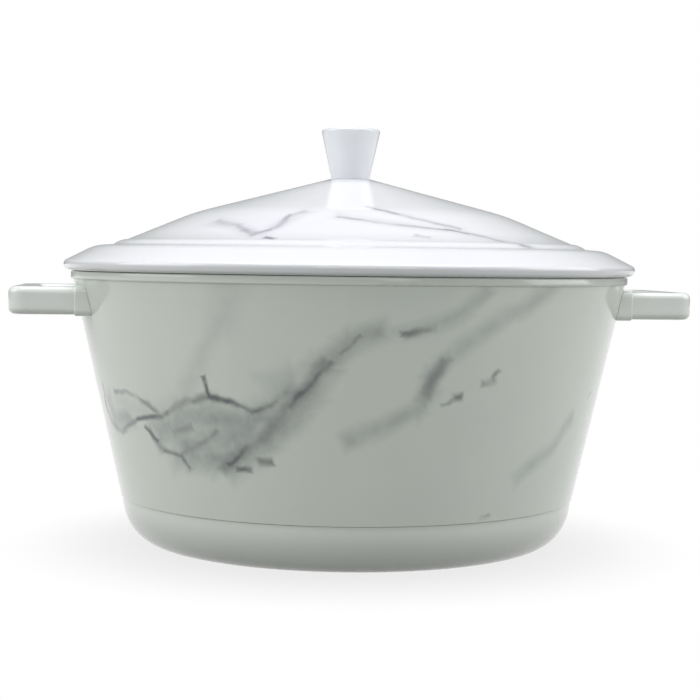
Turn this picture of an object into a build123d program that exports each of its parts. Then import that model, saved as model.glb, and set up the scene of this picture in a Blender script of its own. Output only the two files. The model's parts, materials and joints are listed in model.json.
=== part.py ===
"""Electric hot stone heater: a tapered bowl casing with two loop handles, a removable
stone pan, a conical insulated lid, and the heating and electrical parts inside.

Millimetres, +Z up. The origin is on the axis of the bowl, at the plane its feet stand on.
The handles lie along X and the mains panel is at the rear, on +Y.
"""
from build123d import *
import math
import os

# ---- driving dimensions -------------------------------------------------------------
foot_height = 2.0            # the base hangs this far above the table
base_band_height = 25.0      # base cover, from its underside to the seam
seam_r = 119.8               # outer radius of the shell at the seam
shell_height = 112.7         # outer shell, from the seam to its top edge
taper = 0.2247               # growth of the shell's radius per millimetre of height
shell_wall = 2.2

base_step = 0.8              # the base cover is this much smaller than the shell at the seam
base_curve = 20.0            # the curved band runs this far in to the flat bottom
base_wall = 2.4
seam_gap = 0.3
shell_flange_rise = 2.3      # the shell's bottom flange, which the base is screwed to
shell_flange_t = 2.0
base_post_inset = 9.0        # the base screws' circle, in from the edge of the flat bottom
base_post_count = 4
base_boss_r = 5.0
base_boss_height = 8.7
base_screw_r = 2.0
base_post_bore_depth = 6.0
base_post_bore_r = 4.2
foot_inset = 8.0             # the feet's circle, in from the base screws' circle
foot_count = 4
foot_r = 8.0
foot_stem_r = 3.0
vent_count = 16
vent_inner_r, vent_outer_r, vent_width = 38.0, 58.0, 3.0

rim_lip = 1.2                # the rim ring stands this far out past the shell
rim_band = 4.0               # height of its visible band
rim_width = 17.0
rim_rebate_width = 5.1       # rebate that the well's flange lies in
rim_rebate_t = 2.0
rim_seat_t = 2.5
rim_spigot_depth = 4.0
rim_spigot_wall = 3.0
rim_screw_count = 6
rim_screw_shank, rim_screw_head, rim_screw_head_t = 1.5, 2.3, 1.0
rim_boss_r, rim_boss_depth = 3.6, 10.2

well_draw = 23.0             # the well is this much narrower at its floor than at its flange
well_wall = 1.5
well_corner = 6.0
well_flange_t = 1.5
well_rim_gap = 0.8

pan_wall = 1.5
pan_air_gap = 1.0
pan_flange_inset = 5.3       # the pan's flange ends this far inside the rim ring's edge
pan_flange_t = 1.5
body_gap = 0.3               # gap left between pieces that lift apart

lid_overhang = 3.7           # the lid stands out this far past the rim ring
lid_wall = 2.4
lid_lip_gap = 0.3            # line between the rim ring and the lid's lip
lid_lip_inset = 2.6
lid_lip_wall = 2.5
lid_nose_rise = 4.7
lid_ledge_width, lid_ledge_rise = 16.0, 13.1
lid_step_width, lid_step_rise = 25.5, 13.7
lid_shoulder_width, lid_shoulder_rise = 33.0, 16.5
lid_rise = 49.6              # from the lip to the pad under the knob
lid_pad_r = 11.0
lid_crown_r, lid_crown_rise = 82.0, 31.1   # here the cone's slope steepens, on a wide curve
lid_crown_round = 120.0
nose_trim = 0.4              # the nose's corner before it is rounded

rib_inset = 3.5              # rib that the gasket is pushed on to, in from the pan's flange
rib_wall = 2.0
gasket_wall = 1.2
gasket_depth = 2.0
gasket_grip = 3.2
liner_t = 1.0
liner_rise = 1.7
liner_edge_gap = 0.6
liner_peak_r = 14.0
liner_screw_inset = 5.1
liner_screw_count = 4
liner_screw_shank, liner_screw_length = 1.4, 5.0
liner_boss_r = 4.0
lid_lagging_gap = 0.4

knob_height = 26.4
knob_top_r = 15.75
knob_foot_r = 10.0
knob_round = 1.8
knob_insert_r = 4.0
knob_insert_length = 14.0
knob_screw_r, knob_hole_r = 2.45, 2.8

handle_drop = 10.7           # the handles' height below the shell's top edge
handle_height, handle_width = 14.0, 13.0
handle_edge_round = 3.2
handle_projection = 32.8     # outer reach of the grip past the shell
handle_arm_y = 38.0          # the two arms stand this far each side of the middle
handle_corner_r = 9.0        # the loop's outer corners, seen from above
handle_inner_corner_r = 3.5
handle_collar = 1.4          # collar at the shell, this much thicker than the arm all round
handle_collar_length = 5.0
handle_boss_r = 6.5
handle_boss_depth = 5.2      # flat-faced boss on the inside of the shell's wall
handle_insert_r = 3.2
handle_insert_length = 11.0
handle_insert_reach = 9.5    # the insert ends this far past the collar
handle_screw_r = 1.95
handle_washer_t = 1.0

plate_inset = 10.0           # heat spreader's edge, in from the well's floor radius
plate_t = 6.0
element_inset = 24.0         # radius of the element's ring, in from the spreader's edge
element_tube_r = 3.25
element_gap_angle = 17.0     # half of the ring's open angle, at the rear
element_bend = 8.0
element_sink = 1.0           # the element's centre line lies this far above the plate's face
element_leg_drop = 4.0       # the sheath ends this far under the heat shield
bead_t, pin_r, pin_length = 2.0, 1.5, 6.0
clamp_angles = (0, 180, 270)
clamp_half_length = 12.0
clamp_width = 10.0
clamp_t = 1.5
clamp_screw_offset = 8.4
clamp_screw_r = 1.5
small_screw_bite = 4.0       # small screws and tie rods go this far into the spreader

shield_t = 1.0
shield_edge = 4.0            # the heat shield's edge, out past the spreader's
shield_rim = 6.0
shield_hole_r = 24.0
shield_drop = 8.0            # the heat shield's height below the spreader
tie_count = 3
tie_inset = 6.0
tie_rod_r = 2.0
tie_sleeve_r = 4.0
tie_nut_t = 2.2

cap_r, cap_t, disc_body_r, disc_body_t = 8.0, 6.5, 7.2, 5.0
tab_x, tab_t, tab_w, tab_length = 5.0, 0.8, 4.8, 6.0
bracket_half_x, bracket_half_y, bracket_screw_x, bracket_t = 18.0, 10.5, 14.0, 1.2
fuse_y, fuse_drop, fuse_r, fuse_half = -16.0, 5.0, 2.0, 6.0
fuse_screw_y = -26.0

panel_recess = 10.0          # the rear panel lies this deep in the shell
panel_t = 2.5
panel_half_z = 11.4
panel_ledge = 2.0
panel_end_ledge = 5.0
panel_frame = 4.0
panel_frame_lip = 1.2
panel_frame_depth = 5.0
panel_margin = 6.3           # room for a screw at each end of the panel
fittings_shift = 1.3         # the inlet, switch and lamp stand this far off the middle
panel_screw_inset = 2.5
panel_screw_shank, panel_screw_head = 1.2, 2.2
inlet_switch_gap, switch_lamp_gap = 4.6, 1.0
inlet_flange_x, inlet_flange_z, inlet_flange_t = 15.4, 10.8, 2.0
inlet_body_x, inlet_body_z, inlet_body_depth = 13.5, 9.3, 22.0
inlet_mouth_x, inlet_mouth_z, inlet_mouth_depth = 12.0, 8.0, 15.0
blade_x, blade_z, blade_tip_depth, blade_tail_depth = 1.0, 2.0, 3.5, 27.5
pole_offset_x, pole_drop, earth_rise = 7.0, 2.0, 2.0
switch_half_x, switch_half_z, switch_depth = 9.5, 6.5, 19.5
switch_bezel_x, switch_bezel_z, bezel_t = 10.5, 7.5, 2.0
switch_slot_x, switch_slot_z, switch_slot_depth = 8.2, 4.9, 5.5
switch_tab_x, switch_tab_length = 5.0, 8.0
switch_angle = 9.0           # the rocker tips this far each way from its middle
pivot_depth, pivot_r = 0.9, 1.2
lamp_bezel_r, lamp_bezel_t, lamp_body_r, lamp_bore_r, lamp_depth = 6.0, 1.5, 4.9, 3.9, 15.5
earth_x, earth_depth, earth_screw_r = -49.0, 25.5, 1.5

sleeve_gap = 0.8             # insulation sleeve round the well
sleeve_t = 9.0
sleeve_drop = 15.0           # it ends this far below the handles
sleeve_band_width = 8.0

fit = 0.1                    # clearance of a piece in its hole within one body
thread_fit = 0.02            # clearance of a screw in its thread
pivot_fit = 0.05             # clearance of the rocker's pivot
clear_hole_r = 2.3
wire_r = 1.3
lamp_wire_r = 0.9

# ---- heights that follow, from the table up -----------------------------------------
seam_z = foot_height + base_band_height
shell_top_z = seam_z + shell_height
base_top_z = seam_z - seam_gap
shell_flange_z = seam_z + shell_flange_rise
flange_top_z = shell_flange_z + shell_flange_t
base_boss_top = flange_top_z + base_boss_height
base_post_bore_z = foot_height + base_post_bore_depth
panel_z = flange_top_z + panel_half_z + wire_r - 0.5
shield_z = panel_z + inlet_body_z + 1.2
shield_top_z = shield_z + shield_t
plate_z = shield_z + shield_drop
plate_top_z = plate_z + plate_t
element_z = plate_z + element_sink
element_leg_z = shield_z - element_leg_drop
pin_end_z = element_leg_z - pin_length
clamp_low_z = element_z - element_tube_r - clamp_t
bracket_low_z = plate_z - bracket_t
cap_z = plate_z - cap_t
tab_end_z = cap_z - disc_body_t - tab_length
fuse_z = plate_z - fuse_drop
small_screw_top = plate_z + small_screw_bite
well_floor_z = plate_top_z + well_wall
rim_top_z = shell_top_z + rim_band
well_flange_z = rim_top_z - rim_rebate_t
well_top_z = well_flange_z + well_flange_t
rim_boss_z = well_flange_z - rim_boss_depth
pan_floor_z = well_floor_z + body_gap
pan_flange_z = rim_top_z + body_gap
pan_top_z = pan_flange_z + pan_flange_t
gasket_z = pan_top_z + body_gap
rib_tip_z = gasket_z + gasket_depth
liner_z = rib_tip_z + liner_rise
liner_boss_z = liner_z + liner_t + body_gap
lid_lip_z = rim_top_z + lid_lip_gap
lid_nose_z = lid_lip_z + lid_nose_rise
lid_ledge_z = lid_lip_z + lid_ledge_rise
lid_step_z = lid_lip_z + lid_step_rise
lid_cone_z = lid_lip_z + lid_shoulder_rise
lid_crown_z = lid_lip_z + lid_crown_rise
lid_pad_z = lid_lip_z + lid_rise
handle_z = shell_top_z - handle_drop
sleeve_top_z = handle_z - sleeve_drop
pole_z, earth_pin_z = panel_z - pole_drop, panel_z + earth_rise


def shell_r(z, outward=0.0):
    """Radius of the shell's outer face at a height."""
    return seam_r + taper * (z - seam_z) + outward


# ---- radii and places that follow, from the shell in and out ------------------------
wall_x = shell_wall / math.cos(math.atan(taper))     # the shell's wall measured level
base_r = seam_r - base_step
base_flat_r = base_r - base_curve
base_post_r = base_flat_r - base_post_inset
shell_flange_r = base_post_r - 2 * base_boss_r
foot_circle_r = base_post_r - foot_inset
rim_r = shell_r(shell_top_z) + rim_lip
rim_inner_r = rim_r - rim_width
rim_rebate_r = rim_inner_r + rim_rebate_width
rim_screw_r = (rim_inner_r + rim_rebate_r) / 2
well_top_r = rim_inner_r - well_rim_gap - well_wall
well_floor_r = well_top_r - well_draw
pan_flange_r = rim_r - pan_flange_inset
lid_r = rim_r + lid_overhang
lid_lip_r = lid_r - lid_lip_inset
lid_ledge_r = lid_r - lid_ledge_width
lid_step_r = lid_r - lid_step_width
lid_cone_r = lid_r - lid_shoulder_width
rib_r = pan_flange_r - rib_inset
gasket_inner_r = rib_r - rib_wall / 2 - fit - gasket_wall
gasket_outer_r = rib_r + rib_wall / 2 + fit + gasket_wall
liner_edge_r = gasket_inner_r - liner_edge_gap
liner_flat_r = lid_cone_r - liner_t
liner_screw_r = liner_edge_r - liner_screw_inset
handle_wall_x = math.sqrt(shell_r(handle_z) ** 2 - handle_arm_y ** 2)
handle_collar_x = handle_wall_x + handle_collar_length
handle_boss_x = handle_wall_x - handle_boss_depth
handle_reach_x = shell_r(handle_z) + handle_projection
insert_end_x = handle_collar_x + handle_insert_reach
plate_r = well_floor_r - plate_inset
element_r = plate_r - element_inset
shield_r = plate_r + shield_edge
tie_r = plate_r - tie_inset
outside_r = lid_r + 10       # well clear of the shell, for cuts that run out of it

panel_y = shell_r(panel_z) - panel_recess
panel_half_x = (panel_margin + inlet_flange_x + switch_bezel_x + lamp_bezel_r
                + (inlet_switch_gap + switch_lamp_gap) / 2)
panel_screw_x = panel_half_x - panel_screw_inset
window_half_x = panel_half_x - panel_end_ledge
window_half_z = panel_half_z - panel_ledge
inlet_x = panel_margin + inlet_flange_x - panel_half_x + fittings_shift
switch_x = inlet_x + inlet_flange_x + inlet_switch_gap + switch_bezel_x
lamp_x = switch_x + switch_bezel_x + switch_lamp_gap + lamp_bezel_r
inlet_back_y = panel_y - inlet_body_depth
inlet_floor_y = panel_y - inlet_mouth_depth
blade_tip_y, blade_tail_y = panel_y - blade_tip_depth, panel_y - blade_tail_depth
switch_back_y, switch_floor_y = panel_y - switch_depth, panel_y - switch_slot_depth
pivot_y = panel_y - pivot_depth
lamp_back_y = panel_y - lamp_depth
earth_y = panel_y - earth_depth
pin_spots = [(inlet_x - pole_offset_x, pole_z), (inlet_x + pole_offset_x, pole_z),
             (inlet_x, earth_pin_z)]

# ---- helpers ------------------------------------------------------------------------
BASE = (Align.CENTER, Align.CENTER, Align.MIN)


def save(name, *solids):
    """Write one node; more than one solid makes a group."""
    pieces = [one for shape in solids for one in shape.solids()]
    export_step(Compound(children=pieces) if len(pieces) > 1 else pieces[0], f"parts/{name}.step")


def turned(outline):
    """A solid turned about Z from a closed outline of radius and height."""
    return revolve(Plane.XZ * make_face(outline), Axis.Z)


def turned_points(*points):
    return turned(Polyline(*points, close=True))


def rod(radius, z0, z1, x=0.0, y=0.0):
    return Pos(x, y, z0) * Cylinder(radius, z1 - z0, align=BASE)


def rod_x(radius, x0, x1, y, z):
    return Pos(x0, y, z) * Rot(0, 90, 0) * Cylinder(radius, x1 - x0, align=BASE)


def rod_y(radius, y0, y1, x, z):
    return Pos(x, y0, z) * Rot(-90, 0, 0) * Cylinder(radius, y1 - y0, align=BASE)


def rod_z(radius, z0, z1, place):
    return rod(radius, z0, z1, place[0], place[1])


def hoop(inner, outer, z0, z1):
    return rod(outer, z0, z1) - rod(inner, z0 - 1, z1 + 1)


def block(x0, x1, y0, y1, z0, z1):
    corner = (Align.MIN, Align.MIN, Align.MIN)
    return Pos(x0, y0, z0) * Box(x1 - x0, y1 - y0, z1 - z0, align=corner)


def spots(radius, count, first=0.0):
    """Points spread evenly round a circle."""
    angles = [math.radians(first + 360.0 * k / count) for k in range(count)]
    return [(radius * math.cos(a), radius * math.sin(a)) for a in angles]


def shell_solid(outward, z0, z1):
    return turned_points((0, z0), (shell_r(z0, outward), z0), (shell_r(z1, outward), z1), (0, z1))


def well_r(z):
    """Inside radius of the heating well at a height."""
    rise = (z - well_floor_z) / (well_top_z - well_floor_z)
    return well_floor_r + (well_top_r - well_floor_r) * rise


def bowl(grow, z0, z1, corner):
    """A round-cornered taper that follows the well's wall, moved outward by grow."""
    cone = Pos(0, 0, z0) * Cone(well_r(z0) + grow, well_r(z1) + grow, z1 - z0, align=BASE)
    return fillet(cone.edges().sort_by(Axis.Z)[0], corner)


def wire(name, radius, bend, *points):
    """A round wire along straight runs joined by tangent arcs."""
    path = FilletPolyline(*points, radius=bend)
    body = sweep(Plane(origin=path @ 0, z_dir=path % 0) * Circle(radius), path=path)
    share = body.volume / (math.pi * radius ** 2 * path.length)
    print(f"{name}: length {path.length:.1f}, volume share {share:.4f}")
    save(name, body)


def screw(length, shank, head, head_t):
    """A pan-head screw pointing up from the origin, with its head below."""
    drive = Pos(0, 0, -head_t) * Box(head * 1.3, 0.9, head_t, align=BASE)
    return rod(shank, -0.01, length) + rod(head, -head_t, 0) - drive


# ---- casing -------------------------------------------------------------------------
handle_spots = [(side, arm) for side in (-1, 1) for arm in (-handle_arm_y, handle_arm_y)]
base_spots = spots(base_post_r, base_post_count, 45)
tie_spots = spots(tie_r, tie_count, 30)
foot_spots = spots(foot_circle_r, foot_count)
rim_spots = spots(rim_screw_r, rim_screw_count, 30)


def mirror_x(side, x0, x1):
    """An X span on the plus side, or its mirror on the minus side."""
    return (x0, x1) if side > 0 else (-x1, -x0)


def outer_shell():
    top_r = shell_r(shell_top_z)
    shell = turned_points(
        (seam_r, seam_z),
        (top_r, shell_top_z),
        (top_r - wall_x, shell_top_z),
        (shell_r(flange_top_z) - wall_x, flange_top_z),
        (shell_flange_r, flange_top_z),
        (shell_flange_r, shell_flange_z),
        (shell_r(shell_flange_z) - wall_x, shell_flange_z),
        (seam_r - wall_x, seam_z),
    )
    skin = shell_solid(-wall_x / 2, seam_z, shell_top_z)
    for side, arm in handle_spots:
        boss = rod_x(handle_boss_r, *mirror_x(side, handle_boss_x, outside_r), arm, handle_z)
        shell += boss & skin
    for place in base_spots:
        shell += rod_z(base_boss_r, flange_top_z - 1, base_boss_top, place)
    frame_x = panel_half_x + panel_frame
    frame_z0, frame_z1 = shell_flange_z, panel_z + panel_half_z + shell_wall
    ledge_y = panel_y - panel_t
    frame = block(-frame_x, frame_x, ledge_y - panel_frame_depth, outside_r, frame_z0, frame_z1)
    shell += frame & shell_solid(panel_frame_lip, seam_z, shell_top_z)
    pocket_x, pocket_z = panel_half_x + fit * 3, panel_half_z + fit * 3
    shell -= block(-pocket_x, pocket_x, ledge_y, outside_r, panel_z - pocket_z, panel_z + pocket_z)
    shell -= block(-window_half_x, window_half_x, shell_flange_r, outside_r,
                   panel_z - window_half_z, panel_z + window_half_z)
    for side, arm in handle_spots:
        shell -= rod_x(clear_hole_r, *mirror_x(side, handle_boss_x - 1, outside_r), arm, handle_z)
    for place in base_spots:
        shell -= rod_z(base_screw_r + thread_fit, seam_z, base_boss_top + 1, place)
    for place in tie_spots:
        shell -= rod_z(clear_hole_r, seam_z, flange_top_z + 1, place)
    shell -= rod(earth_screw_r + thread_fit, seam_z, flange_top_z + 1, earth_x, earth_y)
    for side in (-1, 1):
        shell -= rod_y(panel_screw_shank + thread_fit, ledge_y - panel_frame_depth + 0.5,
                       ledge_y + 1, side * panel_screw_x, panel_z)
    save("outer_shell", shell)


def rim_ring():
    spigot_z = shell_top_z - rim_spigot_depth
    inner_top = shell_r(shell_top_z) - wall_x - fit
    inner_low = shell_r(spigot_z) - wall_x - fit
    seat_z = well_flange_z - rim_seat_t
    ring = turned_points(
        (rim_r, shell_top_z),
        (rim_r, rim_top_z),
        (rim_rebate_r, rim_top_z),
        (rim_rebate_r, well_flange_z),
        (rim_inner_r, well_flange_z),
        (rim_inner_r, seat_z),
        (inner_low - rim_spigot_wall, seat_z),
        (inner_low - rim_spigot_wall, spigot_z),
        (inner_low, spigot_z),
        (inner_top, shell_top_z),
    )
    ring = fillet(ring.edges().filter_by(GeomType.CIRCLE).sort_by(SortBy.RADIUS)[-2:], 0.8)
    for place in rim_spots:
        ring += rod_z(rim_boss_r, rim_boss_z, seat_z + 1, place)
    for place in rim_spots:
        ring -= rod_z(rim_screw_shank + thread_fit, rim_boss_z - 1, rim_top_z, place)
    save("rim_ring", ring)


def rim_screws():
    """Countersunk screws that lie flush in the well's flange."""
    top = well_top_z
    solids = []
    for x, y in rim_spots:
        head = Pos(x, y, top - rim_screw_head_t) * Cone(
            rim_screw_shank, rim_screw_head, rim_screw_head_t, align=BASE)
        solids.append(rod(rim_screw_shank, rim_boss_z + 1, top - rim_screw_head_t, x, y) + head)
    save("rim_screws", *solids)


def base_outline(inset, top):
    """Half section of the base cover: flat floor, then a quarter ellipse up to the seam."""
    floor_z = foot_height + inset
    flat_r, wide_r = base_flat_r, base_r - inset
    band = EllipticalCenterArc((flat_r, base_top_z), wide_r - flat_r, base_top_z - floor_z,
                               start_angle=270, arc_size=90)
    edges = [Line((0, floor_z), (flat_r, floor_z)), band,
             Line((0, floor_z), (0, top)), Line((0, top), (wide_r, top))]
    if top > base_top_z:
        edges.append(Line((wide_r, base_top_z), (wide_r, top)))
    return Wire(edges)


def base_cover():
    cover = turned(base_outline(0, base_top_z)) - turned(base_outline(base_wall, base_top_z + 1))
    spigot_r = seam_r - wall_x - fit * 2
    spigot_z = shell_flange_z - seam_gap
    cover += turned_points(
        (spigot_r, base_top_z - 3),
        (spigot_r, spigot_z),
        (spigot_r - base_wall, spigot_z),
        (spigot_r - base_wall, base_top_z - 3),
    )
    floor_z = foot_height + base_wall
    for place in base_spots:
        cover += rod_z(base_boss_r, floor_z - 1, shell_flange_z - fit, place)
    for place in base_spots:
        cover -= rod_z(clear_hole_r, 0, shell_flange_z, place)
        cover -= rod_z(base_post_bore_r, 0, base_post_bore_z, place)
    for place in foot_spots:
        cover -= rod_z(foot_stem_r + fit, 0, floor_z + 1, place)
    for k in range(vent_count):
        slot = Pos(0, 0, floor_z) * Rot(0, 0, (k + 0.5) * 360 / vent_count)
        length = vent_outer_r - vent_inner_r
        middle = (vent_outer_r + vent_inner_r) / 2
        cover -= slot * Pos(middle, 0, -base_wall / 2) * Box(length, vent_width, base_wall * 2)
    save("base_cover", cover)


def base_screws():
    top = base_boss_top - 1
    one = screw(top - base_post_bore_z, base_screw_r, 3.8, 2.4)
    save("base_screws", *[Pos(x, y, base_post_bore_z) * one for x, y in base_spots])


def rubber_feet():
    floor_z = foot_height + base_wall
    solids = []
    for place in foot_spots:
        pad = rod_z(foot_r, 0, foot_height, place)
        pad = fillet(pad.edges().sort_by(Axis.Z)[0], 0.6)
        stem = rod_z(foot_stem_r, foot_height - 0.5, floor_z + 0.5, place)
        bulb = Pos(place[0], place[1], floor_z + fit) * Cone(4.0, 2.4, 3.0, align=BASE)
        solids.append(pad + stem + bulb)
    save("rubber_feet", *solids)


# ---- handles ------------------------------------------------------------------------
def flat_loop():
    """The loop from above, rounded at its far corners, with soft edges all round."""
    half_y, half_z = handle_arm_y + handle_width / 2, handle_height / 2
    z0, z1 = handle_z - half_z, handle_z + half_z
    inner_x, inner_y = handle_reach_x - handle_width, half_y - handle_width
    outside = block(handle_boss_x, handle_reach_x, -half_y, half_y, z0, z1)
    outside = fillet(outside.edges().filter_by(Axis.Z).group_by(Axis.X)[-1], handle_corner_r)
    inside = block(handle_boss_x - 1, inner_x, -inner_y, inner_y, z0 - 1, z1 + 1)
    inside = fillet(inside.edges().filter_by(Axis.Z).group_by(Axis.X)[-1], handle_inner_corner_r)
    loop = outside - inside
    level = loop.edges().group_by(Axis.Z)
    rims = [edge for edge in level[0] + level[-1] if edge.center().X > handle_boss_x + 1]
    return fillet(rims, handle_edge_round)


def handle_root(arm):
    """Collar where an arm meets the shell."""
    half_y, half_z = handle_width / 2 + handle_collar / 2, handle_height / 2 + handle_collar / 2
    collar = block(handle_boss_x, handle_collar_x, arm - half_y, arm + half_y,
                   handle_z - half_z, handle_z + half_z)
    collar = fillet(collar.edges().filter_by(Axis.X), handle_edge_round)
    return chamfer(collar.faces().sort_by(Axis.X)[-1].edges(), handle_collar / 2 - 0.1)


def handle(side):
    """A moulded loop: two arms with collars at the shell, and a grip across their ends."""
    loop = flat_loop() + handle_root(-handle_arm_y) + handle_root(handle_arm_y)
    loop -= shell_solid(fit / 2, seam_z, shell_top_z)
    for arm in (-handle_arm_y, handle_arm_y):
        loop -= rod_x(handle_insert_r + thread_fit, handle_boss_x, insert_end_x + 0.5, arm, handle_z)
    return loop if side > 0 else Rot(0, 0, 180) * loop


def handles():
    save("handle_right", handle(1))
    save("handle_left", handle(-1))


def handle_fasteners():
    inserts, screws, washers = [], [], []
    for side, arm in handle_spots:
        turn = Rot(0, 0, 0 if side > 0 else 180)
        start = insert_end_x - handle_insert_length
        body = rod_x(handle_insert_r, start, insert_end_x, arm, handle_z)
        inserts.append(turn * (body - rod_x(handle_screw_r + thread_fit, start - 1,
                                            insert_end_x - 1, arm, handle_z)))
        seat = handle_boss_x - handle_washer_t
        ring = rod_x(5.0, seat, handle_boss_x, arm, handle_z)
        washers.append(turn * (ring - rod_x(clear_hole_r, seat - 1, handle_boss_x + 1, arm, handle_z)))
        one = screw(insert_end_x - 2 - seat, handle_screw_r, 3.6, 2.6)
        screws.append(turn * Pos(seat, arm, handle_z) * Rot(0, 90, 0) * one)
    save("handle_inserts", *inserts)
    save("handle_screws", *screws)
    save("handle_washers", *washers)


# ---- heating parts ------------------------------------------------------------------
def heating_well():
    top = well_top_z
    well = bowl(well_wall, well_floor_z - well_wall, top, well_corner + well_wall)
    flange_r = rim_rebate_r - fit * 4
    well += hoop(well_top_r, flange_r, well_flange_z, top)
    well -= bowl(0, well_floor_z, top + 0.001, well_corner)
    for x, y in rim_spots:
        well -= rod(rim_screw_shank + fit, well_flange_z - 1, top + 1, x, y)
        sink = Cone(rim_screw_shank + fit, rim_screw_head + fit, rim_screw_head_t, align=BASE)
        well -= Pos(x, y, top - rim_screw_head_t) * sink
    save("heating_well", well)


def insulation_sleeve():
    grow = well_wall + sleeve_gap
    z0, z1 = well_floor_z, sleeve_top_z
    sleeve = turned_points(
        (well_r(z0) + grow, z0),
        (well_r(z0) + grow + sleeve_t, z0),
        (well_r(z1) + grow + sleeve_t, z1),
        (well_r(z1) + grow, z1),
    )
    save("insulation_sleeve", sleeve)


def sleeve_bands():
    """Two metal straps round the insulation sleeve."""
    solids = []
    for z in (well_floor_z + 1.5 * sleeve_band_width, sleeve_top_z - 1.5 * sleeve_band_width):
        grow = well_wall + sleeve_gap + sleeve_t + fit
        band = turned_points(
            (well_r(z) + grow, z),
            (well_r(z) + grow + 0.8, z),
            (well_r(z + sleeve_band_width) + grow + 0.8, z + sleeve_band_width),
            (well_r(z + sleeve_band_width) + grow, z + sleeve_band_width),
        )
        solids.append(band)
    save("sleeve_bands", *solids)


bracket_screw_spots = [(-bracket_screw_x, 0), (bracket_screw_x, 0), (0, fuse_screw_y)]


def clamp_screw_spots():
    found = []
    for angle in clamp_angles:
        for offset in (-clamp_screw_offset, clamp_screw_offset):
            reach = element_r + offset
            turn = math.radians(angle)
            found.append((reach * math.cos(turn), reach * math.sin(turn)))
    return found


def heat_spreader():
    plate = rod(plate_r, plate_z, plate_top_z)
    groove = element_tube_r + fit * 2
    plate -= Pos(0, 0, element_z) * Torus(element_r, groove)
    plate -= hoop(element_r - groove, element_r + groove, plate_z - 1, element_z)
    for place in tie_spots:
        plate -= rod_z(tie_rod_r + thread_fit, plate_z - 1, small_screw_top + 0.3, place)
    for place in clamp_screw_spots() + bracket_screw_spots:
        plate -= rod_z(clamp_screw_r + thread_fit, plate_z - 1, small_screw_top + 0.3, place)
    save("heat_spreader", plate)


def element_path():
    """Ring at one height, open at the rear, with both ends bent down."""
    start, sweep_angle = 90 + element_gap_angle, 360 - 2 * element_gap_angle
    ring = CenterArc((0, 0, element_z), element_r, start, sweep_angle)
    ends = []
    for point, way in ((ring @ 0, ring % 0 * -1), (ring @ 1, ring % 1)):
        turn = math.sin(math.radians(45)) * element_bend
        middle = point + way * turn - Vector(0, 0, element_bend - turn)
        low = point + way * element_bend - Vector(0, 0, element_bend)
        foot = Vector(low.X, low.Y, element_leg_z)
        ends.append((point, middle, low, foot))
    (p0, m0, l0, f0), (p1, m1, l1, f1) = ends
    edges = [Line(f0, l0), ThreePointArc(l0, m0, p0), ring, ThreePointArc(p1, m1, l1), Line(l1, f1)]
    return Wire(edges), f0, f1


element_wire, leg_live, leg_neutral = element_path()
if leg_live.X < leg_neutral.X:
    leg_live, leg_neutral = leg_neutral, leg_live
leg_spots = [(leg_live.X, leg_live.Y), (leg_neutral.X, leg_neutral.Y)]


def heating_element():
    section = Plane(origin=element_wire @ 0, z_dir=element_wire % 0) * Circle(element_tube_r)
    body = sweep(section, path=element_wire)
    share = body.volume / (math.pi * element_tube_r ** 2 * element_wire.length)
    print(f"heating_element: length {element_wire.length:.1f}, volume share {share:.4f}")
    save("heating_element", body)
    beads, pins = [], []
    for place in leg_spots:
        bead = rod_z(element_tube_r - 0.25, element_leg_z - bead_t, element_leg_z, place)
        beads.append(bead - rod_z(pin_r + fit / 2, 0, element_leg_z + 1, place))
        pins.append(rod_z(pin_r, pin_end_z, element_leg_z, place))
    save("element_beads", *beads)
    save("element_pins", *pins)


def element_clamps():
    low = clamp_low_z
    clamps = []
    for angle in clamp_angles:
        half = clamp_width / 2
        clamp = block(element_r - clamp_half_length, element_r + clamp_half_length, -half, half,
                      low, plate_z)
        channel = element_tube_r + fit
        top = element_z - element_tube_r
        clamp -= block(element_r - channel, element_r + channel, -half - 1, half + 1, top - 0.05, plate_z + 1)
        for offset in (-clamp_screw_offset, clamp_screw_offset):
            clamp -= rod(clamp_screw_r + fit, low - 1, plate_z + 1, element_r + offset, 0)
        clamps.append(Rot(0, 0, angle) * clamp)
    save("element_clamps", *clamps)


def plate_screws():
    """The same small screw holds the element's clamps, the thermostat and the fuse clip."""
    places = [(x, y, clamp_low_z) for x, y in clamp_screw_spots()]
    places += [(x, y, bracket_low_z) for x, y in bracket_screw_spots]
    solids = [Pos(x, y, z) * screw(small_screw_top - z, clamp_screw_r, 2.7, 2.0) for x, y, z in places]
    save("plate_screws", *solids)


def thermostat():
    """Bimetal disc thermostat: metal cap, phenolic body, two tabs, and its bracket."""
    save("thermostat_cap", rod(cap_r, cap_z, plate_z))
    save("thermostat_body", rod(disc_body_r, cap_z - disc_body_t, cap_z))
    tab_z = cap_z - disc_body_t
    tabs = []
    for side in (-1, 1):
        x = side * tab_x
        tabs.append(block(x - tab_t / 2, x + tab_t / 2, -tab_w / 2, tab_w / 2, tab_end_z, tab_z))
    save("thermostat_tabs", *tabs)
    plate = block(-bracket_half_x, bracket_half_x, -bracket_half_y, bracket_half_y,
                  plate_z - bracket_t, plate_z)
    plate -= rod(cap_r + fit / 2, plate_z - 3, plate_z + 1)
    for x, y in bracket_screw_spots[:2]:
        plate -= rod(clamp_screw_r + fit, bracket_low_z - 1, plate_z + 1, x, y)
    save("thermostat_bracket", plate)


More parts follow.
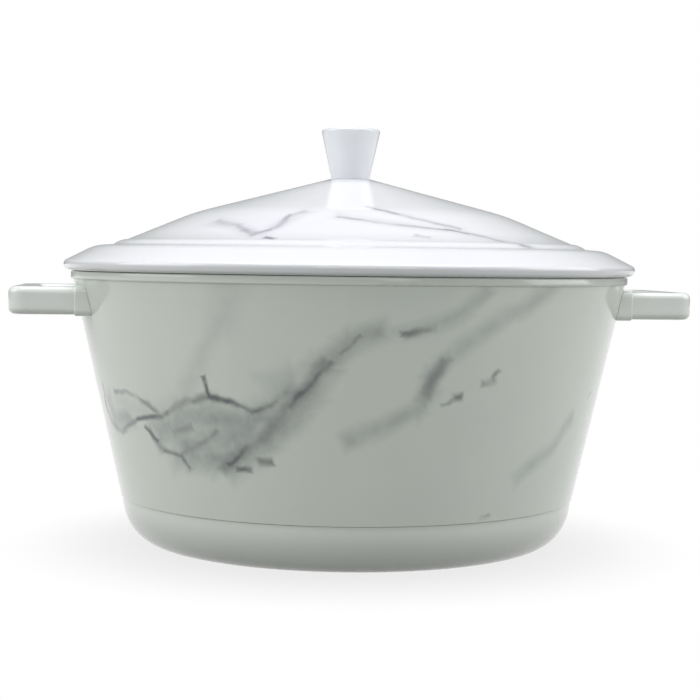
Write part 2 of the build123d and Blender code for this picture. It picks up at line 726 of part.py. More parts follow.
def thermal_fuse():
    save("thermal_fuse", rod_x(fuse_r, -fuse_half, fuse_half, fuse_y, fuse_z))
    ring = rod_x(fuse_r + 1.0, -3, 3, fuse_y, fuse_z)
    web = block(-3, 3, fuse_y - 0.6, fuse_y + 0.6, fuse_z + fuse_r, plate_z)
    foot_y = fuse_screw_y - 4
    foot = block(-3.5, 3.5, foot_y, fuse_y + 0.6, plate_z - bracket_t, plate_z)
    clip = ring + web + foot - rod_x(fuse_r + fit / 2, -4, 4, fuse_y, fuse_z)
    clip -= rod(clamp_screw_r + fit, plate_z - 3, plate_z + 1, 0, fuse_screw_y)
    save("fuse_clip", clip)


def heat_shield():
    tray = rod(shield_r, shield_z, shield_top_z + shield_rim)
    tray -= rod(shield_r - shield_t, shield_top_z, shield_top_z + shield_rim + 1)
    tray -= rod(shield_hole_r, shield_z - 1, shield_top_z + 1)
    for place in leg_spots:
        tray -= rod_z(element_tube_r + 1.2, shield_z - 1, shield_top_z + 1, place)
    for place in tie_spots:
        tray -= rod_z(tie_rod_r + fit * 2, shield_z - 1, shield_top_z + 1, place)
    save("heat_shield", tray)


def tie_parts():
    """Rods that pull the well and its plate down on to the shell's bottom flange."""
    rods, spacers, nuts = [], [], []
    for place in tie_spots:
        bore = rod_z(tie_rod_r + fit * 2, 0, plate_top_z, place)
        rods.append(rod_z(tie_rod_r, shell_flange_z - tie_nut_t - 0.6, small_screw_top, place))
        spacers.append(rod_z(tie_sleeve_r, flange_top_z, shield_z, place) - bore)
        spacers.append(rod_z(tie_sleeve_r, shield_top_z, plate_z, place) - bore)
        nut = extrude(RegularPolygon(3.9, 6), tie_nut_t)
        nut -= rod(tie_rod_r + thread_fit, -1, tie_nut_t + 1)
        nuts.append(Pos(place[0], place[1], shell_flange_z - tie_nut_t) * nut)
    save("tie_rods", *rods)
    save("tie_spacers", *spacers)
    save("tie_nuts", *nuts)


# ---- rear panel ---------------------------------------------------------------------
def rear_panel():
    plate = block(-panel_half_x, panel_half_x, panel_y - panel_t, panel_y,
                  panel_z - panel_half_z, panel_z + panel_half_z)
    plate = fillet(plate.edges().filter_by(Axis.Y), 1.0)
    y0, y1 = panel_y - panel_t - 1, panel_y + 1
    cut_x, cut_z = inlet_body_x + fit, inlet_body_z + fit
    plate -= block(inlet_x - cut_x, inlet_x + cut_x, y0, y1, panel_z - cut_z, panel_z + cut_z)
    cut_x, cut_z = switch_half_x + fit, switch_half_z + fit
    plate -= block(switch_x - cut_x, switch_x + cut_x, y0, y1, panel_z - cut_z, panel_z + cut_z)
    plate -= rod_y(lamp_body_r + fit, y0, y1, lamp_x, panel_z)
    screws = []
    for side in (-1, 1):
        x = side * panel_screw_x
        plate -= rod_y(panel_screw_shank + fit, y0, y1, x, panel_z)
        one = screw(6.0, panel_screw_shank, panel_screw_head, 1.4)
        screws.append(Pos(x, panel_y, panel_z) * Rot(90, 0, 0) * one)
    save("rear_panel", plate)
    save("panel_screws", *screws)


def inlet():
    body = block(inlet_x - inlet_body_x, inlet_x + inlet_body_x, inlet_back_y, panel_y,
                 panel_z - inlet_body_z, panel_z + inlet_body_z)
    flange = block(inlet_x - inlet_flange_x, inlet_x + inlet_flange_x, panel_y,
                   panel_y + inlet_flange_t, panel_z - inlet_flange_z, panel_z + inlet_flange_z)
    body += fillet(flange.edges().filter_by(Axis.Y), 2.0)
    mouth = block(inlet_x - inlet_mouth_x, inlet_x + inlet_mouth_x, inlet_floor_y, outside_r,
                  panel_z - inlet_mouth_z, panel_z + inlet_mouth_z)
    upper = mouth.edges().filter_by(Axis.Y).group_by(Axis.Z)[-1]
    body -= chamfer(upper, 3.0)
    pins = []
    for x, z in pin_spots:
        hole = block(x - blade_x - fit / 2, x + blade_x + fit / 2, inlet_back_y - 1, inlet_floor_y + 1,
                     z - blade_z - fit / 2, z + blade_z + fit / 2)
        body -= hole
        pin = block(x - blade_x, x + blade_x, blade_tail_y, blade_tip_y, z - blade_z, z + blade_z)
        pins.append(pin)
    save("inlet_socket", body)
    save("inlet_pins", *pins)


def rocker_shape():
    """Shallow V paddle with a hub and pivot, drawn level and then tipped to its rest."""
    half, wide = 7.2, 4.6
    outline = Polyline((-half, 4.2), (0, 2.9), (half, 4.2), (half, 0.6), (2.6, -3.0),
                       (-2.6, -3.0), (-half, 0.6), close=True)
    paddle = extrude(make_face(outline), wide, both=True)
    paddle += Cylinder(pivot_r, 2 * (switch_half_z - 0.4))
    return Pos(switch_x, pivot_y, panel_z) * Rot(0, 0, switch_angle) * paddle


def rocker_switch():
    house = block(switch_x - switch_half_x, switch_x + switch_half_x, switch_back_y, panel_y,
                  panel_z - switch_half_z, panel_z + switch_half_z)
    bezel = block(switch_x - switch_bezel_x, switch_x + switch_bezel_x, panel_y, panel_y + bezel_t,
                  panel_z - switch_bezel_z, panel_z + switch_bezel_z)
    house += fillet(bezel.edges().filter_by(Axis.Y), 1.5)
    house -= block(switch_x - switch_slot_x, switch_x + switch_slot_x, switch_floor_y, outside_r,
                   panel_z - switch_slot_z, panel_z + switch_slot_z)
    house -= Pos(switch_x, pivot_y, panel_z) * Cylinder(pivot_r + pivot_fit, 2 * switch_half_z - 0.4)
    tabs = []
    for side in (-1, 1):
        x = switch_x + side * switch_tab_x
        z0, z1 = pole_z - tab_w / 2, pole_z + tab_w / 2
        house -= block(x - tab_t / 2 - fit / 2, x + tab_t / 2 + fit / 2, switch_back_y - 1,
                       switch_back_y + 10, z0 - fit / 2, z1 + fit / 2)
        tabs.append(block(x - tab_t / 2, x + tab_t / 2, switch_back_y - switch_tab_length,
                          switch_back_y + 10, z0, z1))
    save("switch_housing", house)
    save("switch_tabs", *tabs)
    save("switch_rocker", rocker_shape())


def pilot_lamp():
    holder = rod_y(lamp_body_r, lamp_back_y, panel_y, lamp_x, panel_z)
    holder += rod_y(lamp_bezel_r, panel_y, panel_y + lamp_bezel_t, lamp_x, panel_z)
    holder -= rod_y(lamp_bore_r, lamp_back_y + 2, outside_r, lamp_x, panel_z)
    lens_y = panel_y + lamp_bezel_t
    lens = rod_y(lamp_bore_r - fit / 2, lens_y - 6, lens_y, lamp_x, panel_z)
    lens += Pos(lamp_x, lens_y, panel_z) * Sphere(lamp_bore_r - fit / 2)
    lens -= rod_y(lamp_bore_r - 1, lens_y - 7, lens_y - 0.5, lamp_x, panel_z)
    glow_y = lamp_back_y + 2
    glow = rod_y(2.4, glow_y, glow_y + 5, lamp_x, panel_z)
    glow += Pos(lamp_x, glow_y + 5, panel_z) * Sphere(2.4)
    save("lamp_holder", holder)
    save("lamp_lens", lens)
    save("neon_lamp", glow)


def earth_tag():
    low = flange_top_z
    plate = block(earth_x - 4, earth_x + 4, earth_y - 12, earth_y + 4, low, low + 0.8)
    plate += rod_y(2.0, earth_y - 12, earth_y - 6, earth_x, low + 2.3)
    plate += block(earth_x - 1, earth_x + 1, earth_y - 12, earth_y - 6, low, low + 1)
    plate -= rod(earth_screw_r + fit, low - 1, low + 3, earth_x, earth_y)
    one = screw(flange_top_z + 0.8 - shell_flange_z, earth_screw_r, 2.8, 2.0)
    fixing = Pos(earth_x, earth_y, low + 0.8) * Rot(180, 0, 0) * one
    save("earth_tag", plate)
    save("earth_screw", fixing)


def leads():
    """Internal wiring, from terminal to terminal."""
    (neutral_x, _), (live_x, _), (ground_x, _) = pin_spots
    near_x, far_x = switch_x - switch_tab_x, switch_x + switch_tab_x
    tail = blade_tail_y
    loop_y = tail - 9
    wire("lead_live", wire_r, 4.0,
         (live_x, tail, pole_z), (live_x, loop_y, pole_z), (near_x, loop_y, pole_z),
         (near_x, tail, pole_z))
    drop_x, low_z = fuse_half + 7, flange_top_z + 6.2
    wire("lead_switched", wire_r, 4.5,
         (far_x, tail, pole_z), (far_x, tail - 14, pole_z), (far_x + 1, tail - 30, low_z),
         (far_x, 20, low_z), (drop_x, fuse_y, low_z), (drop_x, fuse_y, fuse_z),
         (fuse_half, fuse_y, fuse_z))
    bend_z = tab_end_z - 9
    wire("lead_fuse", wire_r, 4.0,
         (-fuse_half, fuse_y, fuse_z), (-drop_x, fuse_y, fuse_z), (-drop_x, fuse_y, bend_z),
         (-tab_x, 0, bend_z), (-tab_x, 0, tab_end_z))
    leg_x, leg_y = leg_spots[0]
    under_z = pin_end_z - 9
    wire("lead_element", wire_r, 4.0,
         (tab_x, 0, tab_end_z), (tab_x, 0, under_z), (leg_x, leg_y, under_z),
         (leg_x, leg_y, pin_end_z))
    back_x, back_y = leg_spots[1]
    wire("lead_neutral", wire_r, 3.5,
         (back_x, back_y, pin_end_z), (back_x, back_y, under_z),
         (neutral_x, back_y - 2, under_z + 2), (neutral_x, back_y + 9, pole_z),
         (neutral_x, tail, pole_z))
    barrel_y, barrel_z = earth_y - 12, flange_top_z + 2.3
    wire("lead_earth", wire_r, 4.0,
         (ground_x, tail, earth_pin_z), (ground_x, tail - 12, earth_pin_z),
         (ground_x - 14, barrel_y - 14, barrel_z + 5.5), (earth_x, barrel_y - 14, barrel_z),
         (earth_x, barrel_y, barrel_z))
    side_z = pin_end_z + 2.5
    reach = pin_r + body_gap
    wire("lamp_lead_live", lamp_wire_r, 3.0,
         (lamp_x - 2.5, lamp_back_y, panel_z), (lamp_x - 2.5, leg_y + 12, panel_z),
         (lamp_x - 2.5, leg_y, side_z), (leg_x + reach, leg_y, side_z))
    cross_y = leg_y - 13
    wire("lamp_lead_neutral", lamp_wire_r, 3.0,
         (lamp_x + 2.5, lamp_back_y, panel_z), (lamp_x + 2.5, cross_y + 14, panel_z),
         (lamp_x + 2.5, cross_y, side_z), (back_x, cross_y, side_z),
         (back_x, back_y - reach, side_z))


# ---- stone pan ----------------------------------------------------------------------
def stone_pan():
    grow = -pan_air_gap
    pan = bowl(grow, pan_floor_z, pan_top_z, well_corner - pan_air_gap)
    flange = hoop(well_r(pan_top_z) + grow - pan_wall, pan_flange_r, pan_flange_z, pan_top_z)
    edges = flange.edges().filter_by(GeomType.CIRCLE).sort_by(SortBy.RADIUS)[-2:]
    pan += fillet(edges, pan_flange_t * 0.45)
    pan -= bowl(grow - pan_wall, pan_floor_z + pan_wall, pan_top_z + 0.001,
                well_corner - pan_air_gap - pan_wall)
    save("stone_pan", pan)


# ---- lid ----------------------------------------------------------------------------
def lid_section(drop, step_r, rim_points, rim_radii):
    """Half section of the lid from its axis out to the lip, closed back along the bottom."""
    pad = Line((0, lid_pad_z - drop), (lid_pad_r, lid_pad_z - drop))
    cone = FilletPolyline((lid_pad_r, lid_pad_z - drop), (lid_crown_r, lid_crown_z - drop),
                          (lid_cone_r, lid_cone_z - drop), radius=lid_crown_round)
    shoulder = SagittaArc((lid_cone_r, lid_cone_z - drop), (step_r, lid_step_z - drop), 0.6)
    ledge = FilletPolyline((step_r, lid_step_z - drop), (lid_ledge_r, lid_ledge_z - drop),
                           *rim_points, radius=rim_radii)
    end_r, end_z = rim_points[-1]
    close = Polyline((end_r, end_z), (0, end_z), (0, lid_pad_z - drop))
    edges = [edge for line in (pad, cone, shoulder, ledge, close) for edge in line.edges()]
    return Wire(edges)


def lid_top():
    """The lid's outside filled solid: its ledge ends in a blunt nose with an undercut lip."""
    nose_r = lid_r + nose_trim
    rim = ((nose_r, lid_nose_z), (nose_r - 0.9, lid_lip_z + 1.0), (lid_lip_r, lid_lip_z))
    return turned(lid_section(0, lid_step_r, rim, [20.0, 2.4, 1.2]))


def lid_under():
    """The space under the lid's shell, which everything inside the lid stays within."""
    rim = ((lid_r + 0.2 - lid_wall, lid_nose_z - lid_wall * 0.6), (lid_lip_r - lid_lip_wall, lid_lip_z - 1))
    return turned(lid_section(lid_wall, lid_step_r - lid_wall * 0.6, rim, [20.0, 1.0]))


liner_screw_top = liner_z + liner_screw_length
liner_spots = spots(liner_screw_r, liner_screw_count, 45)


def lid_shell():
    top = lid_top()
    hollow = lid_under()
    shell = top - hollow
    rib = hoop(rib_r - rib_wall / 2, rib_r + rib_wall / 2, rib_tip_z, lid_ledge_z)
    shell += rib & top
    for place in liner_spots:
        shell += rod_z(liner_boss_r, liner_boss_z, lid_ledge_z - lid_wall / 2, place) & top
    for place in liner_spots:
        shell -= rod_z(liner_screw_shank + thread_fit, liner_boss_z - 1, liner_screw_top + 0.3, place)
    shell -= rod(knob_hole_r, lid_pad_z - lid_wall - 2, lid_pad_z + 1)
    save("lid_shell", shell)


def liner_face(lift):
    """Cone line of the liner, from its flat edge to its peak, raised by lift."""
    slope = (lid_pad_z - lid_cone_z) / (lid_cone_r - lid_pad_r)
    peak_z = liner_z + slope * (liner_flat_r - liner_peak_r)
    return (liner_flat_r, liner_z + lift), (liner_peak_r, peak_z + lift)


def lid_liner():
    (flat_r, low), (peak_r, peak) = liner_face(0)
    liner = turned_points(
        (liner_edge_r, low),
        (liner_edge_r, low + liner_t),
        (flat_r, low + liner_t),
        (peak_r, peak + liner_t),
        (0, peak + liner_t),
        (0, peak),
        (peak_r, peak),
        (flat_r, low),
    )
    for place in liner_spots:
        liner -= rod_z(liner_screw_shank + fit, liner_z - 1, liner_z + liner_t + 1, place)
    save("lid_liner", liner)
    one = screw(liner_screw_top - liner_z, liner_screw_shank, 2.7, 1.8)
    save("liner_screws", *[Pos(x, y, liner_z) * one for x, y in liner_spots])


def lid_insulation():
    """Felt ring that fills the lid between the liner and the shell."""
    lift = liner_t + lid_lagging_gap
    (flat_r, low), (peak_r, peak) = liner_face(lift)
    pad = turned_points(
        (flat_r, low),
        (peak_r, peak),
        (peak_r, lid_pad_z),
        (flat_r, lid_pad_z),
    )
    felt = pad & Pos(0, 0, -lid_lagging_gap) * lid_under()
    save("lid_insulation", felt)


def lid_gasket():
    seal = hoop(gasket_inner_r, gasket_outer_r, gasket_z, rib_tip_z + gasket_grip)
    seal -= hoop(gasket_inner_r + gasket_wall, gasket_outer_r - gasket_wall, rib_tip_z - fit,
                 lid_ledge_z)
    save("lid_gasket", seal)


def knob():
    body = Pos(0, 0, lid_pad_z) * Cone(knob_foot_r, knob_top_r, knob_height, align=BASE)
    top = body.edges().filter_by(GeomType.CIRCLE).sort_by(Axis.Z)[-1]
    body = fillet(top, knob_round)
    body -= rod(knob_insert_r + thread_fit, lid_pad_z - 1, lid_pad_z + knob_insert_length + 0.5)
    insert = rod(knob_insert_r, lid_pad_z, lid_pad_z + knob_insert_length)
    insert -= rod(knob_screw_r + thread_fit, lid_pad_z - 1, lid_pad_z + knob_insert_length - 1)
    washer_t = 1.2
    seat = lid_pad_z - lid_wall
    washer = rod(7.5, seat - washer_t, seat) - rod(knob_hole_r, seat - 3, seat + 1)
    length = lid_wall + washer_t + knob_insert_length - 2
    fixing = Pos(0, 0, seat - washer_t) * screw(length, knob_screw_r, 4.4, 2.8)
    save("lid_knob", body)
    save("knob_insert", insert)
    save("knob_washer", washer)
    save("knob_screw", fixing)


def main():
    os.makedirs("parts", exist_ok=True)
    outer_shell()
    rim_ring()
    rim_screws()
    base_cover()
    base_screws()
    rubber_feet()
    handles()
    handle_fasteners()
    heating_well()
    insulation_sleeve()
    sleeve_bands()
    heat_spreader()
    heating_element()
    element_clamps()
    plate_screws()
    thermostat()
    thermal_fuse()
    heat_shield()
    tie_parts()
    rear_panel()
    inlet()
    rocker_switch()
    pilot_lamp()
    earth_tag()
    leads()
    stone_pan()
    lid_shell()
    lid_liner()
    lid_insulation()
    lid_gasket()
    knob()


main()
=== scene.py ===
# %% [markdown]
# # A marble-print hot stone heater
# A tapered bowl with a printed marble pattern, two loop handles, a conical lid with a knob
# and a plain base band. Inside it are a heated well and a lift-out pan for massage stones.
# The engineering parts come from the packed frame, in metres. This notebook gives each one
# its finish, models the knob again as a turned solid, and lights the scene.

# %% Load the frame
import json
import math

import bmesh
import bpy
from mathutils import Matrix, Vector


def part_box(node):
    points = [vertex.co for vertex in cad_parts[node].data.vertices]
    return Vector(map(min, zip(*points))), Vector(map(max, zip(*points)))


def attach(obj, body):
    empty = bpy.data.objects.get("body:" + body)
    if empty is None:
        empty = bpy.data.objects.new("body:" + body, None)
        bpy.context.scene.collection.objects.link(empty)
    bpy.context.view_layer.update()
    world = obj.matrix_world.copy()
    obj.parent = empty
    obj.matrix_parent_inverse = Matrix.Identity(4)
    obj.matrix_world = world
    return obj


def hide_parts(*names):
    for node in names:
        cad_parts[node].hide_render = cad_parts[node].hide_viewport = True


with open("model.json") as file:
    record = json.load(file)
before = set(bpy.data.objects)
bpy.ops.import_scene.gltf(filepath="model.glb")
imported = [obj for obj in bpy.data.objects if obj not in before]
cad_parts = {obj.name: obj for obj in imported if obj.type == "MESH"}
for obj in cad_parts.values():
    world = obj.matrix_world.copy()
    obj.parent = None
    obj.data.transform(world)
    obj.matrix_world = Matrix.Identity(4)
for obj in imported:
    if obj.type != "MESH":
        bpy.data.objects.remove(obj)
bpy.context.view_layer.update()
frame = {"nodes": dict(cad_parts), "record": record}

MM = 0.001

# %% [markdown]
# ## A small language for materials
# Every finish is a tree of shader nodes. Writing each link by hand hides the idea of the
# finish, so this helper class adds a node and links its inputs in one line. A plain number
# goes straight on the socket; an output of another node is linked. A class was chosen over
# loose functions because every helper needs the same node tree.

# %% Node helper
class Finish:
    """Builds one material around a Principled shader."""

    def __init__(self, name):
        self.material = bpy.data.materials.new(name)
        self.material.use_nodes = True
        self.tree = self.material.node_tree
        self.shader = self.tree.nodes["Principled BSDF"]
        self.place = self.tree.nodes.new("ShaderNodeTexCoord").outputs["Object"]

    def put(self, socket, value):
        if isinstance(value, bpy.types.NodeSocket):
            self.tree.links.new(value, socket)
        else:
            socket.default_value = value

    def node(self, kind, settings=None, **inputs):
        made = self.tree.nodes.new("ShaderNode" + kind)
        for key, value in (settings or {}).items():
            setattr(made, key, value)
        for key, value in inputs.items():
            self.put(made.inputs[key.replace("_", " ")], value)
        return made

    def math(self, operation, a, b=0.0, clamp=False):
        made = self.tree.nodes.new("ShaderNodeMath")
        made.operation, made.use_clamp = operation, clamp
        self.put(made.inputs[0], a)
        self.put(made.inputs[1], b)
        return made.outputs[0]

    def vector(self, operation, a, b=None, scale=None):
        made = self.tree.nodes.new("ShaderNodeVectorMath")
        made.operation = operation
        self.put(made.inputs[0], a)
        if b is not None:
            self.put(made.inputs[1], b)
        if scale is not None:
            self.put(made.inputs["Scale"], scale)
        value_out = operation in ("LENGTH", "DOT_PRODUCT", "DISTANCE")
        return made.outputs["Value" if value_out else "Vector"]

    def noise(self, scale, detail=3.0, roughness=0.5, at=None):
        made = self.node("TexNoise", Vector=at or self.place, Scale=scale, Detail=detail,
                         Roughness=roughness)
        return made.outputs["Fac"]

    def ramp(self, value, low, high, to_low=0.0, to_high=1.0, smooth=False):
        made = self.tree.nodes.new("ShaderNodeMapRange")
        made.interpolation_type = "SMOOTHSTEP" if smooth else "LINEAR"
        for socket, part in zip(made.inputs, (value, low, high, to_low, to_high)):
            self.put(socket, part)
        return made.outputs[0]

    def blend(self, factor, first, second):
        made = self.tree.nodes.new("ShaderNodeMix")
        made.data_type = "RGBA"
        self.put(made.inputs[0], factor)
        self.put(made.inputs[6], first)
        self.put(made.inputs[7], second)
        return made.outputs[2]

    def bump(self, height, strength, distance):
        made = self.node("Bump", Height=height, Strength=strength, Distance=distance)
        self.put(self.shader.inputs["Normal"], made.outputs[0])

    def surface(self, **inputs):
        for key, value in inputs.items():
            self.put(self.shader.inputs[key.replace("_", " ")], value)
        return self.material


def tone(red, green, blue):
    return (red, green, blue, 1.0)


print("Finish has", len([name for name in vars(Finish) if name[0] != "_"]), "helpers")

# %% [markdown]
# ## Moulded white plastic
# The rim, base, handles and knob are glossy moulded plastic. Real mouldings are never
# perfectly even: the surface has a faint long ripple from cooling, and fine dust makes the
# gloss vary a little. A soft noise drives a very small change of tint, the roughness and a
# shallow bump.

# %% White plastic
CLOUD_SCALE, DUST_SCALE = 9.0, 900.0
RIPPLE_SCALE, RIPPLE_DEPTH = 38.0, 0.6 * MM


def moulded(name, light, shade, gloss=0.12, ripple=0.05):
    finish = Finish(name)
    cloud = finish.noise(CLOUD_SCALE, 2.0)
    dust = finish.noise(DUST_SCALE, 2.0)
    rough = finish.math("ADD", finish.ramp(cloud, 0.3, 0.7, gloss, gloss + 0.05),
                        finish.ramp(dust, 0.55, 0.8, 0.0, 0.03))
    finish.bump(finish.noise(RIPPLE_SCALE, 1.0), ripple, RIPPLE_DEPTH)
    return finish.surface(Base_Color=finish.blend(finish.ramp(cloud, 0.35, 0.65), light, shade),
                          Roughness=rough, IOR=1.5, Coat_Weight=0.25, Coat_Roughness=0.04)


white_plastic = moulded("white_plastic", tone(0.84, 0.87, 0.83), tone(0.81, 0.84, 0.80))
knob_plastic = moulded("knob_plastic", tone(0.88, 0.90, 0.94), tone(0.85, 0.87, 0.91))
handle_plastic = moulded("handle_plastic", tone(0.90, 0.92, 0.90), tone(0.87, 0.89, 0.87), 0.1)
print("white plastics", white_plastic.name, knob_plastic.name, handle_plastic.name)

# %% [markdown]
# ## The marble print
# The bowl and the lid carry a printed film under a clear gloss. The print is drawn flat and
# wrapped round the bowl, so the pattern is worked out the same way: the wall is unrolled
# with the angle round the axis as one coordinate and the height as the other. The print
# repeats on the back half, as a film wrapped twice would.
# An image would be the usual way to make such a print. Working it out from nodes keeps it
# sharp at any size and needs no file.

# %% Unroll a turned surface
def unrolled(finish, across, reach):
    """Flat coordinates: degrees from the front times across, then the given reach."""
    parts = finish.node("SeparateXYZ", Vector=finish.place).outputs
    back = finish.math("MULTIPLY", parts["Y"], -1.0)
    angle = finish.math("ARCTAN2", parts["X"], back)
    degrees = finish.math("MULTIPLY", angle, 180.0 / math.pi)
    wrapped = finish.math("WRAP", degrees, 90.0)
    finish.put(wrapped.node.inputs[2], -90.0)
    radius = finish.math("SQRT", finish.math("ADD", finish.math("POWER", parts["X"], 2.0),
                                             finish.math("POWER", parts["Y"], 2.0)))
    second = {"height": parts["Z"], "radius": radius}[reach]
    return finish.node("CombineXYZ", X=finish.math("MULTIPLY", wrapped, across),
                       Y=finish.math("MULTIPLY", second, 1 / MM)).outputs[0]


print("the print is unrolled in millimetres")

# %% [markdown]
# A vein is a chain of straight strokes. The distance to one stroke has two parts, how far a
# point is off to its side and how far it is past its end, and the larger of the two sets
# the darkness. Both parts are single numbers, which keeps a material with many strokes
# small enough to render.

# %% Strokes
def stroke(finish, flat, start, end, width, depth):
    """The depth on the line from start to end, falling to 0 at width from it."""
    start, end = Vector((*start, 0.0)), Vector((*end, 0.0))
    along, middle = (end - start).normalized(), (start + end) / 2
    side = Vector((-along.y, along.x, 0.0))

    def off(direction):
        place = finish.vector("DOT_PRODUCT", flat, tuple(direction))
        return finish.math("ABSOLUTE", finish.math("SUBTRACT", place, middle.dot(direction)))

    past_end = finish.math("SUBTRACT", off(along), (end - start).length / 2)
    gap = finish.math("MAXIMUM", past_end, off(side))
    return finish.ramp(gap, 0.0, width, depth, 0.0, smooth=True)


def path_strokes(finish, flat, across, paths):
    """The darkest of all the paths; each is (width, depth, points)."""
    darkest = 0.0
    for width, depth, points in paths:
        scaled = [(angle * across, reach) for angle, reach in points]
        for start, end in zip(scaled, scaled[1:]):
            line = stroke(finish, flat, start, end, width, depth)
            darkest = finish.math("MAXIMUM", line, darkest)
    return darkest


print("strokes are ready")

# %% [markdown]
# The print is drawn with strokes of three kinds. Washes are wide and pale, like diluted
# ink. Shadows are narrower and middle grey. Hair veins are thin and nearly black, and break
# off here and there. Large noise bends every stroke a few millimetres and fine noise
# frays the hairs, and each kind is mixed over the one before it.

# %% Marble material
def shaken(finish, flat, amount, scale, detail=2.0):
    wobble = finish.node("TexNoise", Vector=finish.place, Scale=scale, Detail=detail,
                         Roughness=0.5).outputs["Color"]
    centred = finish.vector("SUBTRACT", wobble, (0.5, 0.5, 0.5))
    return finish.vector("ADD", flat, finish.vector("SCALE", centred, scale=amount))


def marble(name, reach, across, washes, shadows, hairs, colours):
    white, cloud, grey, dark = colours
    finish = Finish(name)
    flat = unrolled(finish, across, reach)
    bent = shaken(finish, flat, 9.0, 30.0)
    frayed = shaken(finish, bent, 3.0, 160.0, 3.0)
    streaks = finish.ramp(finish.noise(85.0, 4.0, 0.6), 0.3, 0.62, 0.55, 1.0)
    wash = finish.math("MULTIPLY", path_strokes(finish, bent, across, washes), streaks)
    broken = finish.ramp(finish.noise(60.0, 3.0), 0.36, 0.56, 0.35, 1.0)
    shadow = finish.math("MULTIPLY", path_strokes(finish, frayed, across, shadows), broken)
    hair = finish.math("MULTIPLY", path_strokes(finish, frayed, across, hairs), broken)
    mist = finish.ramp(finish.noise(11.0, 4.0, 0.55), 0.42, 0.75)
    printed = finish.blend(mist, white, cloud)
    printed = finish.blend(wash, printed, grey)
    printed = finish.blend(shadow, printed, finish.blend(0.5, grey, dark))
    printed = finish.blend(hair, printed, dark)
    finish.bump(finish.noise(RIPPLE_SCALE, 1.0), 0.05, RIPPLE_DEPTH)
    rough = finish.ramp(finish.noise(700.0, 2.0), 0.4, 0.8, 0.1, 0.16)
    return finish.surface(Base_Color=printed, Roughness=rough, IOR=1.5, Coat_Weight=0.3,
                          Coat_Roughness=0.04)


print("the marble material is ready")

# %% [markdown]
# The bowl's print: a big translucent grey patch low on the left with a dark right edge, two
# soft diagonal bands that rise to the right from its foot, and a few loose ticks. Points
# are degrees from the front and heights in millimetres. Placed strokes are used because
# noise alone gives an even texture with no large features.

# %% Bowl print
bowl_washes = [
    (12.0, 1.0, [(-50, 68), (-44, 74), (-36, 78), (-28, 74), (-22, 79)]),
    (16.0, 1.0, [(-44, 62), (-36, 66), (-29, 68), (-23, 77), (-18, 87)]),
    (12.0, 1.0, [(-41, 57), (-34, 57), (-29, 60)]), (9.0, 0.8, [(-72, 79), (-71, 70), (-62, 72)]),
    (9.0, 0.4, [(-22, 94), (-16, 97), (-12, 101)]),
    (11.0, 0.9, [(-31, 54), (-24, 66), (-18, 80), (-12, 99)]),
    (9.0, 0.35, [(-66, 80), (-60, 76), (-55, 78)]),
    (9.0, 0.3, [(-50, 77), (-42, 83), (-37, 100), (-33, 116), (-30, 130)]),
    (14.0, 0.24, [(-31, 124), (-28, 142)]),
    (9.0, 0.8, [(-12, 102), (-6, 113), (-1, 118)]), (5.0, 0.4, [(-1, 118), (5, 120), (11, 125)]),
    (6.0, 0.55, [(5, 120), (11, 125), (15, 129), (19, 137)]),
    (7.5, 0.6, [(-6, 69), (1, 76), (7, 83), (9, 91)]),
    (7.0, 0.85, [(8, 88), (10, 99), (13, 108)]),
    (8.0, 0.5, [(13, 108), (16, 114), (22, 122), (28, 130), (34, 140)]),
    (7.0, 0.5, [(35, 48), (45, 61), (52, 73)]),
]
bowl_shadows = [
    (5.0, 0.85, [(-33, 52), (-30, 59), (-24, 69), (-19, 82), (-15, 92), (-11, 103)]),
    (3.0, 0.8, [(-75, 86), (-76, 76), (-74, 67), (-68, 64)]),
    (2.6, 0.8, [(-68, 64), (-57, 72), (-50, 76), (-53, 81), (-58, 84), (-67, 86)]),
    (3.0, 0.8, [(-50, 76), (-42, 83), (-35, 87), (-31, 85), (-26, 81), (-22, 85), (-19, 89)]),
    (3.0, 0.7, [(-54, 67), (-51, 59), (-45, 57), (-43, 51)]),
    (2.4, 0.7, [(-45, 58), (-39, 65), (-34, 71)]), (3.0, 0.6, [(-46, 68), (-41, 72)]),
    (4.5, 0.8, [(9, 92), (12, 106)]), (3.0, 0.7, [(5, 119), (9, 122)]),
]
bowl_hairs = [
    (1.9, 0.95, [(-36, 95), (-35, 87), (-31, 85)]), (1.7, 0.8, [(-31, 85), (-26, 81), (-21, 86)]),
    (1.8, 0.85, [(-76, 80), (-76, 72)]), (1.8, 0.9, [(-51, 75), (-48, 78)]),
    (1.6, 0.8, [(-58, 71), (-50, 76)]), (1.8, 0.8, [(-55, 68), (-52, 63)]),
    (1.6, 0.7, [(-50, 58), (-45, 57), (-43, 52)]), (2.0, 0.8, [(-32, 54), (-28, 63)]),
    (2.0, 0.85, [(-18, 84), (-13, 96), (-10, 104)]), (3.2, 0.9, [(-25, 56), (-23, 57)]),
    (2.6, 0.85, [(-30, 52), (-28, 52)]), (1.5, 0.7, [(-8, 109), (-4, 116)]),
    (3.0, 0.85, [(21, 95), (23, 96)]), (2.0, 0.7, [(22, 95), (24, 100)]),
    (3.0, 0.8, [(15, 89), (16, 89)]), (1.8, 0.6, [(12, 86), (15, 89)]),
    (2.2, 0.8, [(4, 119), (8, 121)]),
    (2.2, 0.45, [(25, 30), (27, 31)]), (2.0, 0.4, [(59, 84), (61, 86)]),
]
bowl_tones = (tone(0.82, 0.86, 0.80), tone(0.77, 0.82, 0.77), tone(0.40, 0.43, 0.42),
              tone(0.12, 0.13, 0.14))
BOWL_MM_PER_DEGREE = 2.3
bowl_print = marble("marble_plastic", "height", BOWL_MM_PER_DEGREE, bowl_washes, bowl_shadows,
                    bowl_hairs, bowl_tones)

print("bowl print", len(bowl_washes + bowl_shadows + bowl_hairs), "paths")

